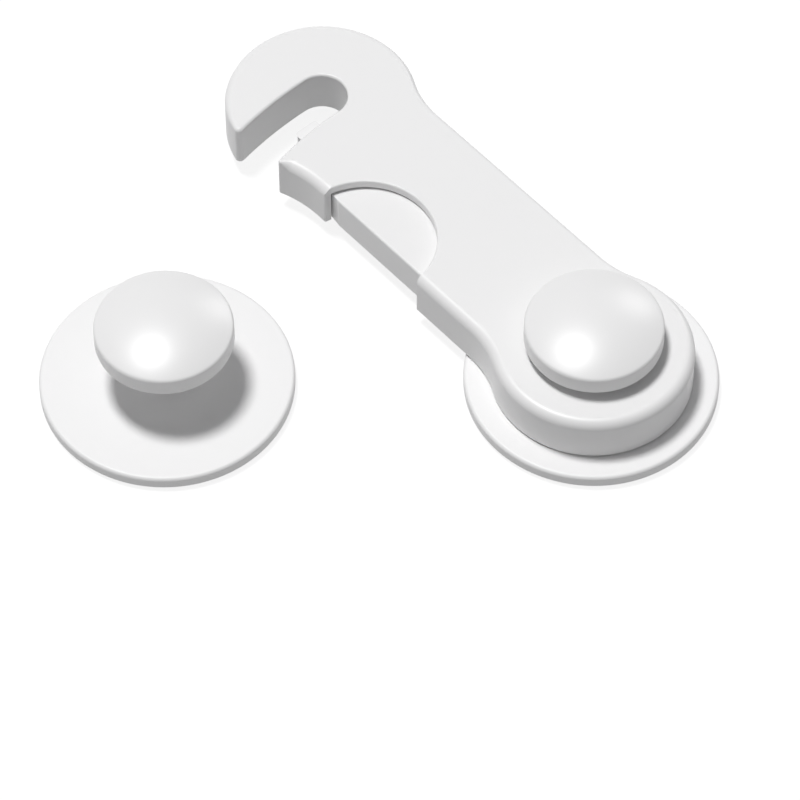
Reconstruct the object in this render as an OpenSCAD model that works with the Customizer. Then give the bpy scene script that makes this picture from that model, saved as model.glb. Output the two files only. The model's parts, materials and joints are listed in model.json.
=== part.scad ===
// Cabinet safety lock: a hooked arm that turns on one stuck-on button and catches the post of a second one.
// Origin on the arm's turning axis, in the plane of the adhesive faces, with +Z away from the furniture.
// The arm is drawn as it lies when locked, along -X from its axis, and then turned to the open pose.

/* [Layout] */
// Distance between the arm's turning axis and the catch post
spacing = 74.5; // [70:0.5:90]
// Angle by which the arm stands open at rest, in degrees
open_angle = 48.9; // [0:0.1:120]

/* [Stuck-on bases] */
// Diameter of each round base
disc_d = 45; // [42:0.5:52]
// Thickness of each round base
disc_t = 2.4; // [2:0.1:3.4]
// Radius of the rounded upper edge of a base
disc_edge_r = 1.1; // [0.5:0.1:1.6]
// Diameter of the post that stands on each base
post_d = 7.4; // [7:0.1:7.6]
// Radius where the post meets its base
post_root_r = 0.25; // [0.1:0.05:0.25]
// Diameter of the adhesive pad under each base
pad_d = 41; // [36:0.5:41]
// Thickness of the adhesive pad
pad_t = 1; // [0.8:0.1:1.6]
// How far the pad stands out of the recess that holds it
pad_proud = 0.6; // [0.4:0.05:0.7]

/* [Buttons] */
// Diameter of each domed button
button_d = 24.4; // [22:0.2:26]
// Height of the button's side wall
button_rim_h = 3.5; // [2.6:0.1:5]
// Rise of the dome above the side wall
button_dome_h = 2.8; // [1.6:0.1:4]
// Radius between the side wall and the dome
button_edge_r = 0.7; // [0.3:0.1:1]
// Depth of the socket that takes the top of the post
socket_depth = 1.6; // [1.2:0.1:2]
// Width of the moulding groove under a button
groove_w = 3.6; // [3:0.1:3.8]
// Depth of the moulding groove under a button
groove_depth = 2; // [1:0.1:2.4]

/* [Arm] */
// Height of the arm from its lower edge to its flat top
arm_h = 8.9; // [8.6:0.1:12]
// Distance of the arm's straight flank beside the window from the arm's axis
arm_half_w = 13.85; // [13:0.05:15]
// Radius of the round end that turns on its post
pivot_head_r = 17.9; // [17:0.1:20]
// Radius of the round hooked end
hook_head_r = 17.55; // [17:0.05:19.5]
// Radius of the hollow sweep between the straight stretch and a round end
neck_r = 18; // [12:0.5:22]
// Radius of the rounded top edge on the window's side of the arm
arm_edge_r = 1.8; // [1:0.1:2.2]
// Radius of the rounded top edge on the other side
far_edge_r = 1.3; // [0.8:0.1:2]
// Thickness of the arm's side walls
wall = 1.4; // [1.2:0.1:1.6]
// Thickness of the arm's top
skin = 1.6; // [1.4:0.1:1.8]
// Thickness of the plate that closes the arm from below
plate_t = 1.2; // [1:0.1:1.5]
// Outer diameter of the sleeve that turns on the post
sleeve_d = 12.4; // [11.6:0.1:13]

/* [Hook slot] */
// Width of the slot that takes the catch post
slot_w = 9.5; // [9.4:0.1:10]
// Distance of the slot's closed end beyond the post's line
slot_end = 1; // [0.4:0.1:1.4]
// Radius of the rounded top edge along the slot
slot_edge_r = 0.5; // [0.3:0.1:1]
// Radius of the corner at the tip of the hook
tip_r = 0.9; // [0.8:0.1:1.4]
// Radius of the heel's corner beside the slot
heel_r = 0.5; // [0.4:0.1:1.7]
// Radius of the heel's corner beside the window
heel_end_r = 0.5; // [0.3:0.1:1.7]
// Radius of the hollow sweep along the heel
scoop_r = 22; // [18:0.5:24]

/* [Thumb window] */
// Radius of the half-round thumb window
window_r = 12.8; // [12.2:0.1:13.4]
// Distance of the window's centre from the turning axis
window_x = 43.6; // [42:0.1:45]
// Distance of the window's centre outside the arm's edge
window_out = 0.8; // [0.6:0.05:1.4]
// Radius of the window's corner nearest to the turning axis
window_corner_r = 0.3; // [0.2:0.1:1]

/* [Release lever] */
// Thickness of the lever
lever_t = 5.4; // [5:0.1:5.6]
// How far the lever's top lies below the arm's top
lever_sink = 2; // [1.9:0.1:2.4]
// Thickness of the skirt that hangs from the lever's front
skirt_t = 1; // [0.8:0.1:1.4]
// Diameter of the lever's steel pin
pin_d = 2; // [1.6:0.1:2.2]
// Radius of the eye that turns on the pin
eye_r = 3.2; // [2.8:0.1:3.4]
// Length of the tooth along the slot
tooth_l = 4.4; // [3.6:0.1:4.6]
// Height of the tooth
tooth_h = 3.2; // [2.6:0.1:3.6]
// How far the tooth stands into the slot
tooth_reach = 2.2; // [1.6:0.1:2.3]
// Depth of the moulding pocket under the lever
lever_pocket = 4; // [2:0.1:4.2]

/* [Return spring] */
// Outer diameter of the coil spring
spring_d = 4.2; // [3.6:0.1:4.6]
// Diameter of the spring wire
spring_wire_d = 0.5; // [0.4:0.05:0.6]
// Number of turns in the spring
spring_turns = 6; // [4:1:8]

/* [Screws] */
// Thread diameter of the long screw that holds a button to its base
post_screw_d = 3; // [2.6:0.1:3.2]
// Length of that screw under its head
post_screw_l = 14; // [12:0.5:14.5]
// Diameter of its head
post_head_d = 5.6; // [5:0.1:5.8]
// Height of its head
post_head_h = 2; // [1.6:0.1:2.2]
// Thread diameter of the small screws in the arm
arm_screw_d = 2.2; // [1.8:0.1:2.4]
// Length of the small screws with their heads
arm_screw_l = 6.4; // [5:0.1:7]
// Head diameter of the small screws
arm_head_d = 4; // [3.6:0.1:4.2]
// Outer diameter of the pillars that take the small screws
pillar_d = 5.2; // [4.8:0.1:5.4]

/* [Clearances] */
// Gap between the arm and the base and between loose flat faces
face_gap = 0.3; // [0.2:0.05:0.4]
// Gap between the top of the arm and the button above it
button_gap = 1.7; // [0.8:0.1:2]
// Radial running clearance of a bore on its post or pin
run_gap = 0.06; // [0.02:0.01:0.1]
// Gap round the plate and other parts that drop into place
fit_gap = 0.15; // [0.1:0.05:0.2]
// Gap between the lever and the walls beside it
lever_gap = 0.35; // [0.3:0.05:0.5]

/* [Hidden] */
$fn = 96;
// Length by which every cutting shape runs past the face it cuts
over = 0.5;

// Heights from the furniture upwards
disc_z0 = pad_proud;
disc_z1 = disc_z0 + disc_t;
arm_z0 = disc_z1 + face_gap;
arm_z1 = arm_z0 + arm_h;
button_z0 = arm_z1 + button_gap;
button_z1 = button_z0 + button_rim_h;
post_z1 = button_z0 + socket_depth;
plate_z1 = arm_z0 + plate_t;
skin_z0 = arm_z1 - skin;
lever_z1 = arm_z1 - lever_sink;
lever_z0 = lever_z1 - lever_t;

// Bases and buttons
disc_r = disc_d / 2;
post_r = post_d / 2;
button_r = button_d / 2;
recess_depth = pad_t - pad_proud;
head_room = 0.2;
head_pit_r = post_head_d / 2 + head_room;
head_pit_z1 = pad_t + head_room + post_head_h;
screw_slack = 0.15;
thread_gap = 0.02;
button_core_wall = 2.2;
button_core_r = post_r + button_core_wall;
post_screw_end = head_pit_z1 + post_screw_l;

// Outline of the arm, with the centre of every arc
hook_short = 1.15;
hook_rise = 0.72;
hook_c = [hook_short - spacing, hook_rise];
// The hooked end is drawn in a little on the side of its mouth
trim_shift = [-0.8, -0.3];
trim_less = 0.8;
hook_trim_c = hook_c + trim_shift;
hook_trim_r = hook_head_r - trim_less;
// The pivot's end is drawn in a little on its far side, beyond an angle
head_split_a = 20;
head_far_less = 1;
head_far_c = head_far_less * [cos(head_split_a), sin(head_split_a)];
head_far_r = pivot_head_r - head_far_less;
// The arm is a little wider on its far side, and its heel stands back from its flank
far_grow = 0.35;
arm_far_w = arm_half_w + far_grow;
heel_in = 0.7;
scoop_from_hook = 15.05;
slot_hw = slot_w / 2;
slot_short = 0.9;
slot_r = spacing - slot_short;
slot_out_r = slot_r + slot_hw;
slot_in_r = slot_r - slot_hw;
slot_a = 180 - asin(slot_end / slot_r);
slot_c = slot_r * [cos(slot_a), sin(slot_a)];
window_c = [-window_x, -arm_half_w - window_out];

// Lever, pin and spring inside the arm
lever_pin_from_slot = [7.8, 7.4];
web_gap = 1.3;
web_w = 6.2;
lever_front_gap = 0.65;
lever_tuck_end = 4;
lever_tuck_back = 2.75;
lever_pin_c = slot_c + lever_pin_from_slot;
lever_left = slot_c[0] + slot_hw + wall + web_gap;
lever_front = -arm_half_w + wall + lever_front_gap;
lever_right = window_c[0] + window_r + lever_tuck_end;
lever_back = window_c[1] + window_r + lever_tuck_back;
lever_corner_r = 1.5;
pocket_wall = 1.8;
pocket_x0 = lever_left + web_w + pocket_wall;
tooth_from_post = 2.8;
tooth_below_top = 0.1;
tooth_nose = 0.5;
tooth_y1 = -tooth_from_post;
tooth_y0 = tooth_y1 - tooth_l;
tooth_tip = -(slot_in_r + tooth_reach);
tooth_z0 = lever_z1 - tooth_below_top - tooth_h;
// The skirt hangs in the opening under the window, down to just above the arm's lower edge
skirt_rise = 0.1;
skirt_over_left = 0.3;
skirt_over_right = 0.8;
skirt_x0 = window_c[0] - window_r - skirt_over_left;
skirt_x1 = window_c[0] + window_r + skirt_over_right;
skirt_z0 = arm_z0 + skirt_rise;
pin_z0 = arm_z0 + plate_t / 2;
pin_z1 = skin_z0 + skin / 2;
rib_set_in = 3.05;
spring_off = 2.4;
spring_stub = 1.2;
spring_stub_gap = 0.15;
spring_end_gap = 0.05;
spring_c = [window_c[0] - spring_off, lever_back];
spring_r = (spring_d - spring_wire_d) / 2;
spring_z = (lever_z0 + lever_z1) / 2;
stub_r = spring_r - spring_wire_d / 2 - spring_stub_gap;
rib_y = arm_half_w - wall - rib_set_in;
rib_w = 7;
// Depth to which a pillar or rib runs into the arm's top
skin_grip = skin / 4;
plate_setback = 6.15;

// Pillars for the small screws: one in each round end and two along the straight stretch
pillar_in = 5.4;
pillar_gap = 0.25;
pillar_y = arm_half_w - wall - pillar_gap - pillar_d / 2;
pillar_hook_a = 108;
pillar_pivot_a = 12;
pillar_high_share = 0.45;
pillar_low_share = 0.208;
pillars = [
    hook_c + (hook_head_r - pillar_in) * [cos(pillar_hook_a), sin(pillar_hook_a)],
    [-pillar_high_share * spacing, pillar_y],
    [-pillar_low_share * spacing, -pillar_y],
    (pivot_head_r - pillar_in) * [cos(pillar_pivot_a), sin(pillar_pivot_a)]
];

// Cross recesses in the screws' heads, as shares of the head
recess_l_share = 0.6;
recess_w_share = 0.16;
recess_depth_share = 0.5;
head_cone_h = (arm_head_d - arm_screw_d) / 2;

// Dome of a button
dome_r = (pow(button_r, 2) + pow(button_dome_h, 2)) / (2 * button_dome_h);
dome_c = button_z1 + button_dome_h - dome_r;

// Point at an angle and distance from a centre
function at(c, r, a) = c + r * [cos(a), sin(a)];
// Direction from one point to another, in degrees
function dir(p, q) = atan2(q[1] - p[1], q[0] - p[0]);
// Where two circles cross, on the left of the way from the first centre to the second, or on the right
function meet(p, rp, q, rq, side) =
    let (
        d = norm(q - p),
        along = (d * d + rp * rp - rq * rq) / (2 * d),
        across = sqrt(rp * rp - along * along),
        u = (q - p) / d
    )
    p + along * u + side * across * [-u[1], u[0]];
// Angle brought to lie above another one, or below it, by less than a full turn
function above(a, from) = from + (((a - from) % 360) + 360) % 360;
function below(a, from) = from - (((from - a) % 360) + 360) % 360;

// Centres of the blends between the arcs
neck_low_c = [-sqrt(pow(pivot_head_r + neck_r, 2) - pow(arm_half_w + neck_r, 2)), -(arm_half_w + neck_r)];
neck_high_c = [
    head_far_c[0] - sqrt(pow(head_far_r + neck_r, 2) - pow(arm_far_w + neck_r - head_far_c[1], 2)),
    arm_far_w + neck_r
];
hook_neck_c = [
    hook_c[0] + sqrt(pow(hook_head_r + neck_r, 2) - pow(arm_far_w + neck_r - hook_c[1], 2)),
    arm_far_w + neck_r
];
hook_cross = meet(hook_c, hook_head_r, hook_trim_c, hook_trim_r, 1);
tip_c = meet([0, 0], slot_out_r + tip_r, hook_trim_c, hook_trim_r - tip_r, 1);
scoop_c = [hook_c[0] + scoop_from_hook, -(arm_half_w - heel_in + scoop_r)];
heel_c = meet([0, 0], slot_in_r - heel_r, scoop_c, scoop_r + heel_r, -1);
heel_end_c = [
    window_c[0] - sqrt(pow(window_r + heel_end_r, 2) - pow(heel_end_r + heel_in + window_out, 2)),
    -arm_half_w + heel_in + heel_end_r
];
corner_c = [
    window_c[0] + sqrt(pow(window_r + window_corner_r, 2) - pow(window_corner_r + window_out, 2)),
    -arm_half_w + window_corner_r
];

// One stretch of outline: centre, radius, first and last angle, and the edge radius at both ends
tip_edge_share = 0.75;
heel_edge_share = 0.9;
tip_edge_r = tip_r * tip_edge_share;
heel_edge_r = heel_r * heel_edge_share;
// Angle of the scoop over which the edge grows from the heel's corner
scoop_blend_a = 5;
scoop_a = above(dir(scoop_c, heel_c), 90);
head_a = dir([0, 0], neck_low_c);
hook_a = dir(hook_c, hook_neck_c);
hook_split_a = 150;
cross_a = dir(hook_c, hook_cross);
arcs = [
    [neck_low_c, neck_r, 90, dir(neck_low_c, [0, 0]), arm_edge_r, arm_edge_r],
    [[0, 0], pivot_head_r, head_a, above(head_split_a, head_a), arm_edge_r, arm_edge_r],
    [head_far_c, head_far_r, head_split_a, above(dir(head_far_c, neck_high_c), head_split_a),
        arm_edge_r, far_edge_r],
    [neck_high_c, neck_r, dir(neck_high_c, head_far_c), -90, far_edge_r, far_edge_r],
    [hook_neck_c, neck_r, -90, below(dir(hook_neck_c, hook_c), -90), far_edge_r, far_edge_r],
    [hook_c, hook_head_r, hook_a, above(hook_split_a, hook_a), far_edge_r, far_edge_r],
    [hook_c, hook_head_r, hook_split_a, above(cross_a, hook_split_a), far_edge_r, arm_edge_r],
    [hook_trim_c, hook_trim_r, dir(hook_trim_c, hook_cross),
        above(dir(hook_trim_c, tip_c), dir(hook_trim_c, hook_cross)), arm_edge_r, tip_edge_r],
    [tip_c, tip_r, dir(hook_trim_c, tip_c), above(dir(tip_c, [0, 0]), dir(hook_trim_c, tip_c)),
        tip_edge_r, tip_edge_r],
    [[0, 0], slot_out_r, dir([0, 0], tip_c), below(slot_a, dir([0, 0], tip_c)), tip_edge_r, slot_edge_r],
    [slot_c, slot_hw, slot_a, slot_a - 180, slot_edge_r, slot_edge_r],
    [[0, 0], slot_in_r, slot_a, above(dir([0, 0], heel_c), slot_a), slot_edge_r, heel_edge_r],
    [heel_c, heel_r, dir([0, 0], heel_c), above(dir(heel_c, scoop_c), dir([0, 0], heel_c)),
        heel_edge_r, heel_edge_r],
    [scoop_c, scoop_r, scoop_a, scoop_a - scoop_blend_a, heel_edge_r, arm_edge_r],
    [scoop_c, scoop_r, scoop_a - scoop_blend_a, 90, arm_edge_r, arm_edge_r],
    [[window_c[0] - window_r / 2, heel_in - arm_half_w], 0, -90, -90, arm_edge_r, arm_edge_r],
    [[window_c[0] + window_r / 2, -arm_half_w], 0, -90, -90, arm_edge_r, arm_edge_r]
];
// Largest length and largest turn of one facet along the outline
facet_l = 2;
facet_a = 15;
function steps(s) =
    let (a = abs(s[3] - s[2]))
    s[1] == 0 ? 1 : ceil(max(a / facet_a, a * PI / 180 * s[1] / facet_l));
function turn(s) = s[3] >= s[2] ? 1 : -1;
// Outline points, each with its outward direction and its edge radius
outline = [
    for (s = arcs)
        let (n = steps(s), last = s[1] == 0 ? 0 : n)
        for (i = [0:last])
            let (
                f = last == 0 ? 0 : i / last,
                a = s[2] + f * (s[3] - s[2]),
                out = s[1] == 0 ? [cos(a), sin(a)] : turn(s) * [cos(a), sin(a)]
            )
            [at(s[0], s[1], a), out, s[4] + f * (s[5] - s[4])]
];
// Neighbouring stretches share a point, which is kept once
same_point = 0.02;
loop = [
    for (i = [0:len(outline) - 1])
        let (next = outline[(i + 1) % len(outline)])
        if (norm(next[0] - outline[i][0]) > same_point) outline[i]
];

// Twice the area of a triangle, positive when its corners run anticlockwise
function twice_area(a, b, c) = (b[0] - a[0]) * (c[1] - a[1]) - (b[1] - a[1]) * (c[0] - a[0]);
function holds(a, b, c, p) =
    p != a && p != b && p != c
    && twice_area(a, b, p) >= 0 && twice_area(b, c, p) >= 0 && twice_area(c, a, p) >= 0;
function is_ear(pts, ids) =
    let (a = pts[ids[len(ids) - 1]], b = pts[ids[0]], c = pts[ids[1]])
    twice_area(a, b, c) > 0 && len([for (k = ids) if (holds(a, b, c, pts[k])) k]) == 0;
// Triangles that fill an outline, cut off one corner at a time
function fill(pts, ids, done = []) =
    let (n = len(ids))
    n == 3 ? concat(done, [ids])
    : is_ear(pts, ids)
    ? fill(pts, [for (k = [1:n - 1]) ids[k]], concat(done, [[ids[n - 1], ids[0], ids[1]]]))
    : fill(pts, [for (k = [1:n]) ids[k % n]], done);

// Solid of the arm's outer shape, with its top edge rounded
edge_steps = 4;
function ring(k) = [
    for (p = loop)
        let (a = 90 * k / edge_steps, q = p[0] - p[1] * p[2] * (1 - cos(a)))
        [q[0], q[1], arm_z1 - p[2] * (1 - sin(a))]
];
module arm_outer() {
    n = len(loop);
    rows = concat([[for (p = loop) [p[0][0], p[0][1], arm_z0]]], [for (k = [0:edge_steps]) ring(k)]);
    points = [for (row = rows) each row];
    sides = [
        for (k = [0:len(rows) - 2], i = [0:n - 1])
            let (j = (i + 1) % n)
            each [[k * n + i, (k + 1) * n + i, (k + 1) * n + j], [k * n + i, (k + 1) * n + j, k * n + j]]
    ];
    top_0 = len(points) - n;
    bottom = fill(rows[0], [for (i = [0:n - 1]) i]);
    top = [
        for (t = fill(ring(edge_steps), [for (i = [0:n - 1]) i]))
            top_0 * [1, 1, 1] + [t[2], t[1], t[0]]
    ];
    polyhedron(points, concat(sides, bottom, top), convexity = 10);
}

// Plan of the slot, wider than it is by a margin
module slot_plan(margin) {
    translate(slot_c)
        circle(slot_hw + margin);
    difference() {
        intersection() {
            circle(slot_out_r + margin);
            translate([-slot_out_r - 2 * margin - over, -2 * arm_half_w])
                square([slot_out_r + spacing, 2 * arm_half_w + slot_c[1]]);
            translate(slot_c - [slot_w, 3 * slot_w])
                square([2 * slot_w, 3 * slot_w]);
        }
        circle(slot_in_r - margin);
    }
}

// Plan of the thumb window, with the corner rounded on each side of it
module window_plan() {
    translate(window_c)
        circle(window_r);
    corner_cut(heel_end_c, heel_end_r, 1);
    corner_cut(corner_c, window_corner_r, -1);
}

// What lies between a rounded corner and the window, towards the window's side
module corner_cut(c, r, side) {
    touch = at(c, r, dir(c, window_c));
    difference() {
        translate([side > 0 ? c[0] : window_c[0], -arm_half_w - over])
            square([abs(window_c[0] - c[0]), touch[1] + arm_half_w + over]);
        translate(c)
            circle(r);
    }
}

// Plan of the hollow inside the arm, smaller than its outline by a margin
module hollow_plan(margin) {
    difference() {
        union() {
            intersection() {
                circle(pivot_head_r - margin);
                rotate(head_split_a)
                    translate([-2 * pivot_head_r, -2 * pivot_head_r])
                        square([4 * pivot_head_r, 2 * pivot_head_r]);
            }
            translate(head_far_c)
                circle(head_far_r - margin);
            intersection() {
                translate(hook_c)
                    circle(hook_head_r - margin);
                translate(hook_trim_c)
                    circle(hook_trim_r - margin);
            }
            translate([hook_c[0], -arm_half_w + margin])
                square([-hook_c[0], arm_half_w + arm_far_w - 2 * margin]);
        }
        slot_plan(margin);
        heel_block(margin);
        circle(sleeve_d / 2 + margin - wall);
    }
}

// Corner of the heel outside the scoop, which the hollow leaves solid
module heel_block(margin) {
    translate(scoop_c)
        circle(scoop_r + margin);
}

// A base: disc, post, recess for the pad and pit for the screw's head
module base_shape() {
    difference() {
        rotate_extrude()
            difference() {
                union() {
                    translate([0, disc_z0])
                        square([disc_r - disc_edge_r, disc_t]);
                    translate([0, disc_z0])
                        square([disc_r, disc_t - disc_edge_r]);
                    translate([disc_r - disc_edge_r, disc_z1 - disc_edge_r])
                        circle(disc_edge_r);
                    translate([0, disc_z0])
                        square([post_r, post_z1 - disc_z0]);
                    translate([0, disc_z0])
                        square([post_r + post_root_r, disc_t + post_root_r]);
                }
                translate([post_r + post_root_r, disc_z1 + post_root_r])
                    circle(post_root_r);
            }
        translate([0, 0, disc_z0 - over])
            cylinder(h = recess_depth + over, r = pad_d / 2 + fit_gap);
        translate([0, 0, disc_z0 - over])
            cylinder(h = head_pit_z1 - disc_z0 + over, r = head_pit_r);
        cylinder(h = post_z1 + over, r = post_screw_d / 2 + screw_slack);
    }
}

// A button: side wall, dome, socket for the post and blind hole for the screw
module button_shape() {
    edge_x = button_r - button_edge_r;
    edge_c = [edge_x, sqrt(pow(dome_r - button_edge_r, 2) - pow(edge_x, 2)) + dome_c];
    difference() {
        rotate_extrude()
            union() {
                intersection() {
                    translate([0, dome_c])
                        circle(dome_r, $fn = 360);
                    translate([0, button_z0])
                        square([edge_c[0], dome_r]);
                }
                translate([0, button_z0])
                    square([button_r, edge_c[1] - button_z0]);
                translate(edge_c)
                    circle(button_edge_r);
            }
        translate([0, 0, button_z0 - over])
            cylinder(h = socket_depth + over, r = post_r + run_gap);
        translate([0, 0, button_z0])
            cylinder(h = post_screw_end - button_z0 + head_room, r = post_screw_d / 2 + thread_gap);
        translate([0, 0, button_z0 - over])
            difference() {
                cylinder(h = groove_depth + over, r = button_core_r + groove_w);
                translate([0, 0, -over])
                    cylinder(h = groove_depth + 3 * over, r = button_core_r);
            }
    }
}

module pad_shape() {
    cylinder(h = pad_t, r = pad_d / 2);
}

// Pan head screw that comes up through a post, with a cross recess in its head
module post_screw_shape() {
    difference() {
        union() {
            translate([0, 0, head_pit_z1 - post_head_h])
                cylinder(h = post_head_h, r = post_head_d / 2);
            cylinder_between(head_pit_z1, post_screw_end, post_screw_d / 2);
        }
        for (a = [0, 90])
            rotate(a)
                translate([-post_head_d * recess_l_share / 2, -post_head_d * recess_w_share / 2,
                    head_pit_z1 - post_head_h - over])
                    cube([post_head_d * recess_l_share, post_head_d * recess_w_share,
                        post_head_h * recess_depth_share + over]);
    }
}

module cylinder_between(z0, z1, r) {
    translate([0, 0, z0])
        cylinder(h = z1 - z0, r = r);
}

// Small countersunk screw from the plate's lower face up into a pillar
module arm_screw_shape() {
    difference() {
        union() {
            translate([0, 0, arm_z0])
                cylinder(h = head_cone_h, r1 = arm_head_d / 2, r2 = arm_screw_d / 2);
            cylinder_between(arm_z0 + head_cone_h, arm_z0 + arm_screw_l, arm_screw_d / 2);
        }
        for (a = [0, 90])
            rotate(a)
                translate([-arm_head_d * recess_l_share / 2, -arm_head_d * recess_w_share / 2,
                    arm_z0 - over])
                    cube([arm_head_d * recess_l_share, arm_head_d * recess_w_share,
                        head_cone_h * recess_depth_share + over]);
    }
}

module as_opened() {
    rotate(-open_angle)
        children();
}

module at_pillars() {
    for (p = pillars)
        translate(p)
            children();
}

module catch_base() {
    color("white")
        translate([-spacing, 0])
            base_shape();
}

module catch_button() {
    color("white")
        translate([-spacing, 0])
            button_shape();
}

module catch_pad() {
    color("gainsboro")
        translate([-spacing, 0])
            pad_shape();
}

module catch_screw() {
    color("silver")
        translate([-spacing, 0])
            post_screw_shape();
}

module pivot_base() {
    color("white")
        base_shape();
}

module pivot_button() {
    color("white")
        button_shape();
}

module pivot_pad() {
    color("gainsboro")
        pad_shape();
}

module pivot_screw() {
    color("silver")
        post_screw_shape();
}

// The arm's moulded housing: hollow, open below, with sleeve, pillars, pin seat and spring rib inside
module arm_cover() {
    color("white")
        as_opened()
            difference() {
                union() {
                    difference() {
                        arm_outer();
                        translate([0, 0, arm_z0 - over])
                            linear_extrude(skin_z0 - arm_z0 + over)
                                hollow_plan(wall);
                        translate([0, 0, arm_z0 - over])
                            linear_extrude(arm_h + 2 * over)
                                window_plan();
                    }
                    at_pillars()
                        cylinder_between(plate_z1, skin_z0 + skin_grip, pillar_d / 2);
                    translate(lever_pin_c)
                        cylinder_between(lever_z1 + face_gap, skin_z0 + skin_grip, eye_r);
                    translate([spring_c[0] - rib_w / 2, rib_y, plate_z1])
                        cube([rib_w, wall, skin_z0 + skin_grip - plate_z1]);
                    translate([spring_c[0], rib_y + wall / 2, spring_z])
                        rotate([90, 0, 0])
                            cylinder(h = spring_stub + wall / 2, r = stub_r);
                }
                translate([0, 0, arm_z0 - over])
                    cylinder(h = arm_h + 2 * over, r = post_r + run_gap);
                at_pillars()
                    cylinder_between(plate_z1 - over, arm_z0 + arm_screw_l + face_gap,
                        arm_screw_d / 2 + thread_gap);
                translate(lever_pin_c)
                    cylinder_between(lever_z1, pin_z1, pin_d / 2 + thread_gap);
                translate([-slot_in_r - over, tooth_y0 - 2 * lever_gap, tooth_z0 - lever_gap])
                    cube([2 * wall + over, tooth_l + 3 * lever_gap, tooth_h + 2 * lever_gap]);
            }
}

// The plate that closes the arm from below, cut back where the thumb presses
module arm_back_plate() {
    color("whitesmoke")
        as_opened()
            difference() {
                translate([0, 0, arm_z0])
                    linear_extrude(plate_t)
                        difference() {
                            hollow_plan(wall + fit_gap);
                            translate([skirt_x0 - heel_end_r, -arm_half_w])
                                square([lever_right + lever_gap + heel_end_r - skirt_x0,
                                    wall + plate_setback]);
                        }
                at_pillars() {
                    cylinder_between(arm_z0 - over, plate_z1 + over, arm_screw_d / 2 + screw_slack);
                    translate([0, 0, arm_z0])
                        cylinder(h = head_cone_h, r1 = arm_head_d / 2, r2 = arm_screw_d / 2);
                }
                translate(lever_pin_c)
                    cylinder_between(pin_z0, plate_z1 + over, pin_d / 2 + thread_gap);
            }
}

module arm_screws() {
    color("silver")
        as_opened()
            at_pillars()
                arm_screw_shape();
}

// Plan of the lever: eye, web, thumb pad and the root of the tooth
module lever_plan() {
    translate(lever_pin_c)
        circle(eye_r);
    translate([lever_left, lever_front])
        square([web_w, lever_pin_c[1] - lever_front]);
    translate([lever_left, lever_front])
        square([lever_right - lever_left - lever_corner_r, lever_back - lever_front]);
    translate([lever_right - 2 * lever_corner_r, lever_front])
        square([2 * lever_corner_r, lever_back - lever_front - lever_corner_r]);
    translate([lever_right - lever_corner_r, lever_back - lever_corner_r])
        circle(lever_corner_r);
}

module release_lever() {
    color("white")
        as_opened()
            difference() {
                union() {
                    difference() {
                        translate([0, 0, lever_z0])
                            linear_extrude(lever_t)
                                difference() {
                                    lever_plan();
                                    heel_block(wall + lever_gap);
                                }
                        translate([pocket_x0, lever_front + pocket_wall, lever_z0 - over])
                            cube([lever_right - pocket_wall - pocket_x0,
                                lever_back - lever_front - 2 * pocket_wall, lever_pocket + over]);
                    }
                    difference() {
                        translate([skirt_x0, lever_front, skirt_z0])
                            cube([skirt_x1 - skirt_x0, skirt_t, lever_z0 + skirt_t - skirt_z0]);
                        translate([0, 0, arm_z0])
                            linear_extrude(arm_h)
                                heel_block(wall + lever_gap);
                    }
                    translate([0, 0, tooth_z0])
                        linear_extrude(tooth_h)
                            polygon([
                                [lever_left + wall, tooth_y0],
                                [tooth_tip + tooth_nose, tooth_y0],
                                [tooth_tip, tooth_y0 + tooth_nose],
                                [tooth_tip, tooth_y1 - tooth_nose / 2],
                                [tooth_tip + tooth_nose / 2, tooth_y1],
                                [lever_left + wall, tooth_y1]
                            ]);
                    translate([spring_c[0], lever_back - spring_stub, spring_z])
                        rotate([-90, 0, 0])
                            cylinder(h = 2 * spring_stub, r = stub_r);
                }
                translate([lever_pin_c[0], lever_pin_c[1], lever_z0 - over])
                    cylinder(h = lever_t + 2 * over, r = pin_d / 2 + run_gap);
            }
}

module lever_pin() {
    color("silver")
        as_opened()
            translate(lever_pin_c)
                cylinder_between(pin_z0, pin_z1, pin_d / 2);
}

// Coil spring from the lever's back to the rib, one unbroken wire
spring_l = rib_y - lever_back - 2 * spring_end_gap;
wire_r = spring_wire_d / 2;
coil_steps = 10;
wire_sides = 6;
module lever_spring() {
    rings = spring_turns * coil_steps;
    rise = (spring_l - spring_wire_d) / rings;
    points = [
        for (i = [0:rings], s = [0:wire_sides - 1])
            let (
                a = 360 * i / coil_steps,
                b = 360 * s / wire_sides,
                r = spring_r + wire_r * cos(b)
            )
            [r * cos(a), r * sin(a), wire_r + rise * i + wire_r * sin(b)]
    ];
    sides = [
        for (i = [0:rings - 1], s = [0:wire_sides - 1])
            let (t = (s + 1) % wire_sides, k = i * wire_sides, m = k + wire_sides)
            each [[k + s, m + s, m + t], [k + s, m + t, k + t]]
    ];
    first = [for (s = [0:wire_sides - 1]) s];
    last = [for (s = [0:wire_sides - 1]) len(points) - 1 - s];
    color("silver")
        as_opened()
            translate([spring_c[0], lever_back + spring_end_gap, spring_z])
                rotate([-90, 0, 0])
                    polyhedron(points, concat(sides, [first, last]), convexity = 10);
}

catch_base();
catch_button();
catch_pad();
catch_screw();
pivot_base();
pivot_button();
pivot_pad();
pivot_screw();
arm_cover();
arm_back_plate();
arm_screws();
release_lever();
lever_pin();
lever_spring();
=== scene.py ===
"""Looks of a cabinet safety lock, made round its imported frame.

The arm is drawn as it lies when locked, along -X from its turning axis, and then turned to the open pose.
Sizes are named in millimetres and become metres when a mesh is made.
"""
import json
from math import asin, atan2, ceil, cos, degrees, hypot, pi, radians, sin, sqrt, tan

import bmesh
import bpy
from mathutils import Matrix, Vector


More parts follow.
